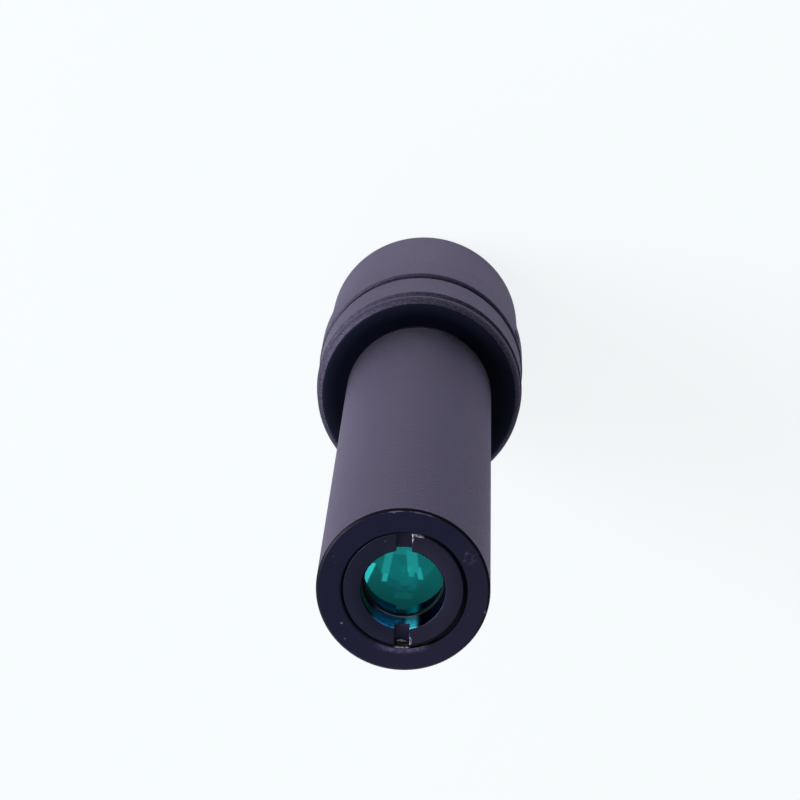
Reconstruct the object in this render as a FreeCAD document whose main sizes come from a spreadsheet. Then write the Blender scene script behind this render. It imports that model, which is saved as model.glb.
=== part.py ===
import FreeCAD, Part
import math
import os
import re
import Sketcher

# Laser beam shaper: a slim barrel with the input lens at its top, standing on a wider head that
# carries the output lenses. The optical axis is +Z and the output end stands on z = 0.
# All lengths are in millimetres.

SIZES = {
    # Fits shared by all pieces; clearances and steps are radial
    "thread_clearance": 0.05,
    "thread_step": 0.4,
    "thread_run_out": 0.6,
    "glass_clearance": 0.1,
    "glass_bevel": 0.2,
    "mouth_chamfer": 0.3,
    # Barrel
    "barrel_diameter": 25,
    "barrel_reach": 87.5,
    "barrel_edge": 0.35,
    "barrel_neck_step": 0.2,
    "shoulder_gap": 0.1,
    "barrel_web": 2,
    "barrel_web_hole": 14,
    "beam_bore": 20,
    # Input ring, slip ring and lens
    "input_ring_recess": 0.3,
    "input_ring_thickness": 4.1,
    "input_ring_hole": 11.9,
    "input_ring_edge": 0.2,
    "input_slot_width": 2.2,
    "input_slot_depth": 1.7,
    "input_slip_thickness": 0.35,
    "input_slip_width": 2.65,
    "input_lens_diameter": 16.6,
    "input_lens_edge": 2.75,
    "input_lens_rim": 1.8,
    "input_lens_front_radius": 225,
    "input_lens_back_radius": 45,
    # Mapping lens and its rings
    "mapping_lens_edge": 2.5,
    "mapping_lens_rim": 2.4,
    "mapping_lens_dish": 0.45,
    "mapping_slip_thickness": 0.8,
    "slip_ring_width": 1.7,
    "mapping_ring_thickness": 2.5,
    "mapping_ring_width": 2.2,
    "inner_slot_width": 1.8,
    "inner_slot_depth": 1.2,
    # Stray-light baffles, placed by their distance from the barrel's lower end
    "baffle_thickness": 2,
    "baffle_lip": 0.4,
    "baffle_relief": 1,
    "front_baffle_height": 62,
    "front_baffle_hole": 13,
    "rear_baffle_height": 26,
    "rear_baffle_hole": 15.5,
    # Lock collar, from its lip down to the groove above the housing
    "lip_width": 1.75,
    "lip_step": 0.4,
    "lip_round": 1.5,
    "lip_groove_width": 1.75,
    "lip_groove_depth": 0.9,
    "band_width": 8.5,
    "band_step": 0.2,
    "joint_groove_width": 2,
    "joint_groove_depth": 0.9,
    "groove_slope": 0.3,
    "seal_width": 1,
    "seal_height": 1.3,
    "seal_depth": 3,
    "seal_clearance": 0.03,
    # Head housing
    "housing_length": 28.2,
    "flange_width": 8.5,
    "flange_edge": 0.3,
    "body_step": 0.5,
    "body_taper": 0.35,
    "end_wall": 1.95,
    "end_chamfer": 0.8,
    "housing_web": 2,
    "housing_web_hole": 22,
    # Set screws through the housing's flange and the soft slugs under them
    "screw_diameter": 2.5,
    "screw_drop": 2.6,
    "screw_recess": 1.2,
    "screw_bearing": 200,
    "screw_socket_flats": 1.3,
    "screw_socket_depth": 1.2,
    "slug_length": 1.2,
    # Output lenses, spacer, shim and ring
    "shim_thickness": 1,
    "shim_width": 2.2,
    "output_lens_diameter": 29.4,
    "output_lens_edge": 3.5,
    "output_lens_rim": 1.7,
    "output_lens_front_radius": 75,
    "output_lens_back_radius": 150,
    "meniscus_edge": 2.5,
    "meniscus_front_radius": 55,
    "meniscus_back_radius": 90,
    "output_spacer_length": 3,
    "output_spacer_width": 1.5,
    "output_ring_recess": 0.5,
    "output_ring_thickness": 2.8,
    "output_ring_width": 2.45,
    "output_ring_edge": 0.2,
    "output_slot_width": 2.8,
    "output_slot_depth": 1.6,
    "output_seal_section": 1.4,
}

# Heights of the seats and faces above the output end, from the output ring up to the input face
LEVELS = {
    "output_ring_seat": "output_ring_recess + output_ring_thickness",
    "output_lens_front": "output_ring_seat + output_seal_section + 2 * seal_clearance",
    "output_lens_back": "output_lens_front + output_lens_edge",
    "meniscus_front": "output_lens_back + output_spacer_length",
    "meniscus_seat": "meniscus_front + meniscus_edge",
    "shim_seat": "meniscus_seat + housing_web",
    "barrel_end": "shim_seat + shim_thickness",
    "flange_bottom": "housing_length - flange_width",
    "screw_level": "housing_length - screw_drop",
    "band_bottom": "housing_length + joint_groove_width",
    "band_top": "band_bottom + band_width",
    "lip_bottom": "band_top + lip_groove_width",
    "head_front": "lip_bottom + lip_width",
    "seal_top": "head_front - seal_depth",
    "seal_bottom": "seal_top - seal_height",
    "barrel_shoulder": "head_front + shoulder_gap",
    "input_face": "head_front + barrel_reach",
    "input_ring_face": "input_face - input_ring_recess",
    "input_ring_seat": "input_ring_face - input_ring_thickness",
    "input_lens_front": "input_ring_seat - input_slip_thickness",
    "input_lens_seat": "input_lens_front - input_lens_edge",
    "mapping_lens_seat": "input_lens_seat - barrel_web",
    "mapping_lens_back": "mapping_lens_seat - mapping_lens_edge",
    "mapping_slip_back": "mapping_lens_back - mapping_slip_thickness",
    "mapping_ring_back": "mapping_slip_back - mapping_ring_thickness",
    "front_baffle_level": "barrel_end + front_baffle_height",
    "rear_baffle_level": "barrel_end + rear_baffle_height",
}

# Radii about the optical axis that several pieces share
RADII = {
    "barrel_outside": "barrel_diameter / 2",
    "barrel_neck": "barrel_outside - barrel_neck_step",
    "barrel_fit": "barrel_neck + thread_clearance",
    "bore_wall": "beam_bore / 2",
    "bore_ring": "bore_wall - thread_clearance",
    "bore_glass": "bore_wall - glass_clearance",
    "input_glass": "input_lens_diameter / 2",
    "input_glass_bore": "input_glass + glass_clearance",
    "input_thread": "input_glass_bore + thread_step",
    "input_ring": "input_thread - thread_clearance",
    "output_glass": "output_lens_diameter / 2",
    "output_glass_bore": "output_glass + glass_clearance",
    "output_thread": "output_glass_bore + thread_step",
    "output_ring": "output_thread - thread_clearance",
    "end_rim": "output_thread + end_wall",
    "body_top": "end_rim + body_taper",
    "flange": "body_top + body_step",
    "band": "flange - band_step",
    "lip": "flange - lip_step",
    "lip_groove": "lip - lip_groove_depth",
    "joint_groove": "band - joint_groove_depth",
    "seal_inside": "barrel_neck + seal_clearance",
    "seal_outside": "seal_inside + seal_width",
    "seal_groove": "seal_outside + seal_clearance",
    "screw_hole": "screw_diameter / 2 + thread_clearance",
    "screw_foot": "barrel_fit + slug_length + thread_clearance",
    "screw_head": "flange - screw_recess",
}

# The numbers by which a sketch knows its axes, its origin and the two ends of an edge
VERTICAL_AXIS = (-2,)
HORIZONTAL_AXIS = (-1,)
ORIGIN = (-1, 1)
FORWARD = (1, 2)
BACKWARD = (2, 1)
CENTRE = (3,)

document = FreeCAD.newDocument("beam_shaper")


def fill_sheet(name, cells):
    """Put one value or formula in each row of a sheet, under its own alias."""
    sheet = document.addObject("Spreadsheet::Sheet", name)
    for row, (alias, content) in enumerate(cells.items(), start=1):
        sheet.set("A%d" % row, alias)
        sheet.set("B%d" % row, content)
        sheet.setAlias("B%d" % row, alias)
    document.recompute()
    return sheet


def bind(text):
    """Name the sheet in front of each size, level and radius in an expression."""
    def with_sheet(match):
        word = match.group(0)
        for sheet_name, cells in (("Sizes", SIZES), ("Levels", LEVELS), ("Radii", RADII)):
            if word in cells:
                return "%s.%s" % (sheet_name, word)
        return word
    return re.sub(r"[a-z_]+", with_sheet, text)


sizes = fill_sheet("Sizes", {alias: str(value) for alias, value in SIZES.items()})
levels = fill_sheet("Levels", {alias: "=" + bind(formula) for alias, formula in LEVELS.items()})
radii = fill_sheet("Radii", {alias: "=" + bind(formula) for alias, formula in RADII.items()})


def value(text):
    """The present value of an expression in the sheets' names."""
    return float(sizes.evalExpression(bind(text)))


def origin_plane(body, role):
    return next(item for item in body.Origin.OriginFeatures if item.Role == role)


def new_body(name):
    body = document.addObject("PartDesign::Body", name)
    body.Label = name
    return body


def new_sketch(body, role, name):
    sketch = body.newObject("Sketcher::SketchObject", name)
    sketch.AttachmentSupport = [(origin_plane(body, role), "")]
    sketch.MapMode = "FlatFace"
    return sketch


def arc_between(start, end, radius, bend):
    """The short arc from start to end; bend is 1 for anticlockwise and -1 for clockwise."""
    chord = end - start
    reach = math.sqrt(radius ** 2 - (chord.Length / 2) ** 2)
    side = FreeCAD.Vector(-chord.y, chord.x, 0).normalize() * (bend * reach)
    centre = (start + end) / 2 + side
    first, last = (start, end) if bend > 0 else (end, start)
    angles = [math.atan2(point.y - centre.y, point.x - centre.x) for point in (first, last)]
    if angles[1] < angles[0]:
        angles[1] += 2 * math.pi
    return Part.ArcOfCircle(Part.Circle(centre, FreeCAD.Vector(0, 0, 1), radius), *angles)


def constrain(sketch, kind, references, text):
    """Add one dimension and tie it to an expression."""
    index = sketch.addConstraint(Sketcher.Constraint(kind, *references, value(text)))
    sketch.setExpression("Constraints[%d]" % index, bind(text))


def draw_half_section(sketch, corners):
    """Draw a closed outline on the sketch and tie each corner to its radius and height.

    A corner is (radius, height), or (radius, height, arc radius, bend) where an arc leaves it.
    """
    points = [FreeCAD.Vector(value(corner[0]), value(corner[1]), 0) for corner in corners]
    edges = []
    for index, corner in enumerate(corners):
        start = points[index]
        end = points[(index + 1) % len(points)]
        if len(corner) == 2:
            edges.append((sketch.addGeometry(Part.LineSegment(start, end)), *FORWARD))
            continue
        arc = sketch.addGeometry(arc_between(start, end, value(corner[2]), corner[3]))
        edges.append((arc, *(FORWARD if corner[3] > 0 else BACKWARD)))
    for index, (edge, start, end) in enumerate(edges):
        following, following_start = edges[(index + 1) % len(edges)][:2]
        sketch.addConstraint(Sketcher.Constraint("Coincident", edge, end, following, following_start))
    for (edge, start, end), corner in zip(edges, corners):
        if corner[0] == "0":
            sketch.addConstraint(Sketcher.Constraint("PointOnObject", edge, start, *VERTICAL_AXIS))
        else:
            constrain(sketch, "DistanceX", (edge, start), corner[0])
        if corner[1] == "0":
            sketch.addConstraint(Sketcher.Constraint("PointOnObject", edge, start, *HORIZONTAL_AXIS))
        else:
            constrain(sketch, "DistanceY", (edge, start), corner[1])
        if len(corner) == 4:
            constrain(sketch, "Radius", (edge,), corner[2])


def turned(name, corners):
    """A body turned about the optical axis from a half section."""
    body = new_body(name)
    sketch = new_sketch(body, "XZ_Plane", name + "_section")
    draw_half_section(sketch, corners)
    turning = body.newObject("PartDesign::Revolution", name + "_turning")
    turning.Profile = sketch
    turning.ReferenceAxis = (sketch, ["V_Axis"])
    turning.Angle = 360
    sketch.Visibility = False
    document.recompute()
    return body


def cut_spanner_slots(body, face, width, depth, length, upward):
    """Mill one straight slot across the end face of a ring, which leaves two opposite slots."""
    sketch = new_sketch(body, "XY_Plane", body.Name + "_slot_outline")
    sketch.setExpression("AttachmentOffset.Base.z", bind(face))
    half_width = value(width) / 2
    half_length = value(length) / 2
    corners = [
        FreeCAD.Vector(-half_width, -half_length, 0),
        FreeCAD.Vector(half_width, -half_length, 0),
        FreeCAD.Vector(half_width, half_length, 0),
        FreeCAD.Vector(-half_width, half_length, 0),
    ]
    sides = [
        sketch.addGeometry(Part.LineSegment(corners[index], corners[(index + 1) % 4]))
        for index in range(4)
    ]
    start, end = FORWARD
    for side, following in zip(sides, sides[1:] + sides[:1]):
        sketch.addConstraint(Sketcher.Constraint("Coincident", side, end, following, start))
    for side, direction in zip(sides, ("Horizontal", "Vertical", "Horizontal", "Vertical")):
        sketch.addConstraint(Sketcher.Constraint(direction, side))
    sketch.addConstraint(Sketcher.Constraint("Symmetric", sides[0], start, sides[1], end, *ORIGIN))
    constrain(sketch, "DistanceX", (sides[0], start, sides[0], end), width)
    constrain(sketch, "DistanceY", (sides[1], start, sides[1], end), length)
    solid_before = body.Shape.Volume
    slot = body.newObject("PartDesign::Pocket", body.Name + "_slots")
    slot.Profile = sketch
    slot.setExpression("Length", bind(depth))
    slot.Reversed = upward
    sketch.Visibility = False
    document.recompute()
    if body.Shape.Volume > solid_before - 1:
        raise RuntimeError("%s: the slots cut nothing" % body.Name)


def sag(radius, aperture):
    """Depth of a spherical surface out to an aperture radius, as an expression."""
    return "(%s - sqrt(%s ^ 2 - (%s) ^ 2))" % (radius, radius, aperture)


def plain_ring(name, inside, outside, bottom, top):
    """A flat ring with square edges."""
    return turned(name, [
        (inside, bottom),
        (outside, bottom),
        (outside, top),
        (inside, top),
    ])


# Barrel: smooth for a clamp above the head, with a slightly thinner threaded neck inside the head,
# one lens seat above its inner web and one below it
turned("barrel", [
    ("bore_wall", "barrel_end"),
    ("barrel_neck - barrel_edge", "barrel_end"),
    ("barrel_neck", "barrel_end + barrel_edge"),
    ("barrel_neck", "barrel_shoulder"),
    ("barrel_outside", "barrel_shoulder"),
    ("barrel_outside", "input_face - barrel_edge"),
    ("barrel_outside - barrel_edge", "input_face"),
    ("input_thread + mouth_chamfer", "input_face"),
    ("input_thread", "input_face - mouth_chamfer"),
    ("input_thread", "input_ring_seat - thread_run_out"),
    ("input_glass_bore", "input_ring_seat - thread_run_out"),
    ("input_glass_bore", "input_lens_seat"),
    ("barrel_web_hole / 2", "input_lens_seat"),
    ("barrel_web_hole / 2", "mapping_lens_seat"),
    ("bore_wall", "mapping_lens_seat"),
])

# Input retaining ring: screwed in just below the barrel's face, with two spanner slots
input_ring = turned("input_retaining_ring", [
    ("input_ring_hole / 2", "input_ring_seat"),
    ("input_ring", "input_ring_seat"),
    ("input_ring", "input_ring_face - input_ring_edge"),
    ("input_ring - input_ring_edge", "input_ring_face"),
    ("input_ring_hole / 2 + input_ring_edge", "input_ring_face"),
    ("input_ring_hole / 2", "input_ring_face - input_ring_edge"),
])
cut_spanner_slots(
    input_ring, "input_ring_face", "input_slot_width", "input_slot_depth", "4 * input_ring", False)

# Slip ring: keeps the turning ring off the glass
plain_ring(
    "input_slip_ring", "input_glass - input_slip_width", "input_glass", "input_lens_front", "input_ring_seat")

# Input lens: hollow on both sides, with a flat rim that the web and the slip ring hold
input_aperture = "input_glass - input_lens_rim"
turned("input_lens", [
    ("0", "input_lens_seat + " + sag("input_lens_back_radius", input_aperture), "input_lens_back_radius", -1),
    (input_aperture, "input_lens_seat"),
    ("input_glass - glass_bevel", "input_lens_seat"),
    ("input_glass", "input_lens_seat + glass_bevel"),
    ("input_glass", "input_lens_front - glass_bevel"),
    ("input_glass - glass_bevel", "input_lens_front"),
    (input_aperture, "input_lens_front", "input_lens_front_radius", -1),
    ("0", "input_lens_front - " + sag("input_lens_front_radius", input_aperture)),
])


def mapping_lens():
    """Thin plate with one aspheric side, a smooth dish that spreads the middle of the beam."""
    rim = radii.bore_glass
    bevel = sizes.glass_bevel
    front = levels.mapping_lens_seat
    back = levels.mapping_lens_back
    edge_of_dish = rim - sizes.mapping_lens_rim
    steps = 8
    dish = []
    for step in range(steps + 1):
        share = step / steps
        height = back + sizes.mapping_lens_dish * (1 - share ** 2) ** 2
        dish.append(FreeCAD.Vector(share * edge_of_dish, 0, height))
    outward = FreeCAD.Vector(1, 0, 0)
    curve = Part.BSplineCurve()
    curve.interpolate(dish, InitialTangent=outward, FinalTangent=outward)
    outline = [
        dish[-1],
        FreeCAD.Vector(rim - bevel, 0, back),
        FreeCAD.Vector(rim, 0, back + bevel),
        FreeCAD.Vector(rim, 0, front - bevel),
        FreeCAD.Vector(rim - bevel, 0, front),
        FreeCAD.Vector(0, 0, front),
        dish[0],
    ]
    lines = [Part.LineSegment(*pair).toShape() for pair in zip(outline, outline[1:])]
    section = Part.Face(Part.Wire([curve.toShape()] + lines))
    plate = document.addObject("Part::Feature", "mapping_lens")
    plate.Label = "mapping_lens"
    plate.Shape = section.revolve(FreeCAD.Vector(0, 0, 0), FreeCAD.Vector(0, 0, 1), 360)
    plate.Placement = FreeCAD.Placement()


mapping_lens()

# Slip ring and slotted ring that hold the mapping lens against the web
plain_ring(
    "mapping_slip_ring",
    "bore_glass - slip_ring_width", "bore_glass", "mapping_slip_back", "mapping_lens_back")
mapping_ring = plain_ring(
    "mapping_retaining_ring",
    "bore_ring - mapping_ring_width", "bore_ring", "mapping_ring_back", "mapping_slip_back")
cut_spanner_slots(
    mapping_ring, "mapping_ring_back", "inner_slot_width", "inner_slot_depth", "4 * bore_ring", True)


def baffle(name, level, hole):
    """Screwed-in ring with a thin lip round its hole, cut back to a cone on the output side."""
    ring = turned(name, [
        (hole + " / 2 + baffle_relief", level),
        ("bore_ring", level),
        ("bore_ring", level + " + baffle_thickness"),
        (hole + " / 2", level + " + baffle_thickness"),
        (hole + " / 2", level + " + baffle_thickness - baffle_lip"),
    ])
    cut_spanner_slots(ring, level, "inner_slot_width", "inner_slot_depth", "4 * bore_ring", True)


baffle("front_baffle", "front_baffle_level", "front_baffle_hole")
baffle("rear_baffle", "rear_baffle_level", "rear_baffle_hole")

# Lock collar: rounded lip, groove, wide band, and a boss whose side is the floor of the joint groove
turned("lock_collar", [
    ("barrel_fit + mouth_chamfer", "housing_length"),
    ("joint_groove", "housing_length"),
    ("joint_groove", "band_bottom - groove_slope"),
    ("band", "band_bottom"),
    ("band", "band_top"),
    ("lip_groove", "band_top + groove_slope"),
    ("lip_groove", "lip_bottom - groove_slope"),
    ("lip", "lip_bottom"),
    ("lip", "head_front - lip_round", "lip_round", 1),
    ("lip - lip_round", "head_front"),
    ("barrel_fit + mouth_chamfer", "head_front"),
    ("barrel_fit", "head_front - mouth_chamfer"),
    ("barrel_fit", "seal_top + seal_clearance"),
    ("seal_groove", "seal_top + seal_clearance"),
    ("seal_groove", "seal_bottom - seal_clearance"),
    ("barrel_fit", "seal_bottom - seal_clearance"),
    ("barrel_fit", "housing_length + mouth_chamfer"),
])

# Dust seal: felt wiper ring in the collar's inner groove, round the barrel
plain_ring("dust_seal", "seal_inside", "seal_outside", "seal_bottom", "seal_top")

# Head housing: flange, tapered body, a seat for the barrel above its web and for the glass below it
housing = turned("head_housing", [
    ("output_thread + mouth_chamfer", "0"),
    ("end_rim - end_chamfer", "0"),
    ("end_rim", "end_chamfer"),
    ("body_top", "flange_bottom"),
    ("flange - flange_edge", "flange_bottom"),
    ("flange", "flange_bottom + flange_edge"),
    ("flange", "housing_length - flange_edge"),
    ("flange - flange_edge", "housing_length"),
    ("barrel_fit + mouth_chamfer", "housing_length"),
    ("barrel_fit", "housing_length - mouth_chamfer"),
    ("barrel_fit", "shim_seat"),
    ("housing_web_hole / 2", "shim_seat"),
    ("housing_web_hole / 2", "meniscus_seat"),
    ("output_glass_bore", "meniscus_seat"),
    ("output_glass_bore", "output_ring_seat + thread_run_out"),
    ("output_thread", "output_ring_seat + thread_run_out"),
    ("output_thread", "mouth_chamfer"),
])


def drill_screw_holes():
    """Drill straight through both sides of the flange for the two set screws."""
    sketch = new_sketch(housing, "YZ_Plane", "screw_hole_outline")
    height = value("screw_level")
    hole_radius = value("screw_hole")
    upright = FreeCAD.Vector(0, 0, 1)
    circle = sketch.addGeometry(Part.Circle(FreeCAD.Vector(0, height, 0), upright, hole_radius))
    sketch.addConstraint(Sketcher.Constraint("PointOnObject", circle, *CENTRE, *VERTICAL_AXIS))
    constrain(sketch, "DistanceY", (circle, *CENTRE), "screw_level")
    constrain(sketch, "Radius", (circle,), "screw_hole")
    solid_before = housing.Shape.Volume
    holes = housing.newObject("PartDesign::Pocket", "screw_holes")
    holes.Profile = sketch
    holes.Type = "ThroughAll"
    holes.Midplane = True
    sketch.Visibility = False
    document.recompute()
    wall = value("flange - barrel_fit")
    expected = 2 * wall * math.pi * hole_radius ** 2
    if abs(solid_before - housing.Shape.Volume - expected) > 0.1 * expected:
        raise RuntimeError("the screw holes are not drilled through both sides")


drill_screw_holes()


def turn_to_screws(item):
    """Turn a piece about the optical axis to the bearing of the set screws."""
    item.Placement = FreeCAD.Placement(FreeCAD.Vector(), FreeCAD.Rotation(FreeCAD.Vector(0, 0, 1), 1))
    item.setExpression("Placement.Rotation.Angle", bind("screw_bearing"))


turn_to_screws(housing)


def lying_piece(kind, name, radius_from_axis):
    """A round or six-sided blank that lies along +X at the height of the screws."""
    item = document.addObject(kind, name)
    along_x = FreeCAD.Rotation(FreeCAD.Vector(0, 1, 0), 90)
    item.Placement = FreeCAD.Placement(FreeCAD.Vector(), along_x)
    item.setExpression("Placement.Base.x", bind(radius_from_axis))
    item.setExpression("Placement.Base.z", bind("screw_level"))
    return item


def opposite_pair(name, piece):
    """The piece and its twin across the optical axis, turned together as one group."""
    twin = document.addObject("Part::Mirroring", name + "_twin")
    twin.Source = piece
    twin.Normal = FreeCAD.Vector(1, 0, 0)
    pair = document.addObject("Part::Compound", name)
    pair.Label = name
    pair.Links = [piece, twin]
    turn_to_screws(pair)


def set_screws():
    """Headless screws with a hexagon socket in the outer end."""
    blank = lying_piece("Part::Cylinder", "screw_blank", "screw_foot")
    blank.setExpression("Radius", bind("screw_diameter / 2"))
    blank.setExpression("Height", bind("screw_head - screw_foot"))
    socket = lying_piece("Part::Prism", "screw_socket", "screw_head - screw_socket_depth")
    socket.Polygon = 6
    socket.setExpression("Circumradius", bind("screw_socket_flats / sqrt(3)"))
    socket.setExpression("Height", bind("2 * screw_socket_depth"))
    screw = document.addObject("Part::Cut", "screw")
    screw.Base = blank
    screw.Tool = socket
    opposite_pair("set_screws", screw)


def screw_slugs():
    """Soft slugs between the screws and the barrel."""
    slug = lying_piece("Part::Cylinder", "slug", "barrel_fit")
    slug.setExpression("Radius", bind("screw_diameter / 2"))
    slug.setExpression("Height", bind("slug_length"))
    opposite_pair("screw_slugs", slug)


set_screws()
screw_slugs()

# Focus shim: sets how far the barrel enters the housing
plain_ring("focus_shim", "barrel_neck - shim_width", "barrel_neck", "shim_seat", "barrel_end")

# Output meniscus: hollow towards the barrel, bulging towards the output lens
output_aperture = "output_glass - output_lens_rim"
turned("output_meniscus", [
    ("0", "meniscus_front - " + sag("meniscus_front_radius", output_aperture), "meniscus_front_radius", 1),
    (output_aperture, "meniscus_front"),
    ("output_glass - glass_bevel", "meniscus_front"),
    ("output_glass", "meniscus_front + glass_bevel"),
    ("output_glass", "meniscus_seat - glass_bevel"),
    ("output_glass - glass_bevel", "meniscus_seat"),
    (output_aperture, "meniscus_seat", "meniscus_back_radius", -1),
    ("0", "meniscus_seat - " + sag("meniscus_back_radius", output_aperture)),
])

# Spacer between the two output lenses
plain_ring(
    "output_spacer",
    "output_glass - output_spacer_width", "output_glass", "output_lens_back", "meniscus_front")

# Output lens: bulging on both sides inside a flat rim
output_front_sag = sag("output_lens_front_radius", output_aperture)
output_back_sag = sag("output_lens_back_radius", output_aperture)
turned("output_lens", [
    ("0", "output_lens_front - " + output_front_sag, "output_lens_front_radius", 1),
    (output_aperture, "output_lens_front"),
    ("output_glass - glass_bevel", "output_lens_front"),
    ("output_glass", "output_lens_front + glass_bevel"),
    ("output_glass", "output_lens_back - glass_bevel"),
    ("output_glass - glass_bevel", "output_lens_back"),
    (output_aperture, "output_lens_back", "output_lens_back_radius", 1),
    ("0", "output_lens_back + " + output_back_sag),
])

# Output seal: square-cut rubber ring that the output ring presses on the lens's rim
plain_ring(
    "output_seal",
    "output_glass - seal_clearance - output_seal_section", "output_glass - seal_clearance",
    "output_ring_seat + seal_clearance", "output_lens_front - seal_clearance")

# Output retaining ring: just inside the end face, with two spanner slots
output_ring = turned("output_retaining_ring", [
    ("output_ring - output_ring_width", "output_ring_recess"),
    ("output_ring - output_ring_edge", "output_ring_recess"),
    ("output_ring", "output_ring_recess + output_ring_edge"),
    ("output_ring", "output_ring_seat"),
    ("output_ring - output_ring_width", "output_ring_seat"),
])
cut_spanner_slots(
    output_ring, "output_ring_recess", "output_slot_width", "output_slot_depth", "4 * output_ring", True)

document.recompute()

NODES = [
    "barrel",
    "input_retaining_ring",
    "input_slip_ring",
    "input_lens",
    "mapping_lens",
    "mapping_slip_ring",
    "mapping_retaining_ring",
    "front_baffle",
    "rear_baffle",
    "lock_collar",
    "dust_seal",
    "head_housing",
    "set_screws",
    "screw_slugs",
    "focus_shim",
    "output_meniscus",
    "output_spacer",
    "output_lens",
    "output_seal",
    "output_retaining_ring",
]

for item in document.Objects:
    if "Invalid" in item.State or "Error" in item.State:
        raise RuntimeError("%s failed: %s" % (item.Name, item.State))

for node in NODES:
    shape = document.getObject(node).Shape
    if shape.isNull() or not shape.isValid():
        raise RuntimeError("%s has no valid shape" % node)

os.makedirs("parts", exist_ok=True)
for node in NODES:
    shape = document.getObject(node).Shape
    shape.exportStep("parts/%s.step" % node)
    print("%-24s solids %d  volume %10.2f mm3" % (node, len(shape.Solids), shape.Volume))
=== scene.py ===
import math
from functools import cached_property

import bmesh
import bpy
from mathutils import Matrix, Vector


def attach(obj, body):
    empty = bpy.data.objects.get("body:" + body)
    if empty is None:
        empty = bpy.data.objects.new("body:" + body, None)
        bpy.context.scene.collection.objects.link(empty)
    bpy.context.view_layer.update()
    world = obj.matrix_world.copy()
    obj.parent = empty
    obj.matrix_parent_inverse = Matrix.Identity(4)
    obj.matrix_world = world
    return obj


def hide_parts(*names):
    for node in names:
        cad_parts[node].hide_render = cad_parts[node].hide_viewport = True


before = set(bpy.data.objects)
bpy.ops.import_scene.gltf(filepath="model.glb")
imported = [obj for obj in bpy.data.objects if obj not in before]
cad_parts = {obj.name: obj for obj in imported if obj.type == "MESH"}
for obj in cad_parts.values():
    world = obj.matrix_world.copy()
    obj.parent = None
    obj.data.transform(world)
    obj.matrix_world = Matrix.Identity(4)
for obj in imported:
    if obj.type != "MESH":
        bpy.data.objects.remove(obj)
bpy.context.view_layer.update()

# Barrel. One aluminium tube, turned, bead-blasted fine and anodised black, with turned end faces
# and a dull black bore. Its thinner threaded neck screws into the head and a clamp grips the rest.
# Its broken edges are rubbed bright, most of all where a spanner has slipped on the end face. The
# end face also has painted light and shade: a highlight along the top of its rim, a lighter side,
# and shade on its outer chamfer and round its mouth.

tube_radius, neck_radius, bore_radius = 12.5, 12.3, 10
neck_foot, shoulder, input_face = 16.76, 42.3, 129.7
tube_edge = 0.35
rim_radius = tube_radius - tube_edge
mouth_radius, thread_radius, mouth_edge = 9.1, 8.8, 0.3
lens_bore_radius, thread_floor, lens_seat = 8.4, 124.7, 122.2
web_radius, web_foot = 7, 120.2


class Value:
    """A number, colour or vector that varies over a surface. Arithmetic on it adds Math nodes."""

    def __init__(self, finish, socket):
        self.finish = finish
        self.socket = socket

    def __add__(self, other):
        return self.finish.math("ADD", self, other)

    def __radd__(self, other):
        return self.finish.math("ADD", other, self)

    def __sub__(self, other):
        return self.finish.math("SUBTRACT", self, other)

    def __rsub__(self, other):
        return self.finish.math("SUBTRACT", other, self)

    def __mul__(self, other):
        return self.finish.math("MULTIPLY", self, other)

    def __rmul__(self, other):
        return self.finish.math("MULTIPLY", other, self)

    def __pow__(self, other):
        return self.finish.math("POWER", self, other)

    def __or__(self, other):
        return self.finish.math("MAXIMUM", self, other)


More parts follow.
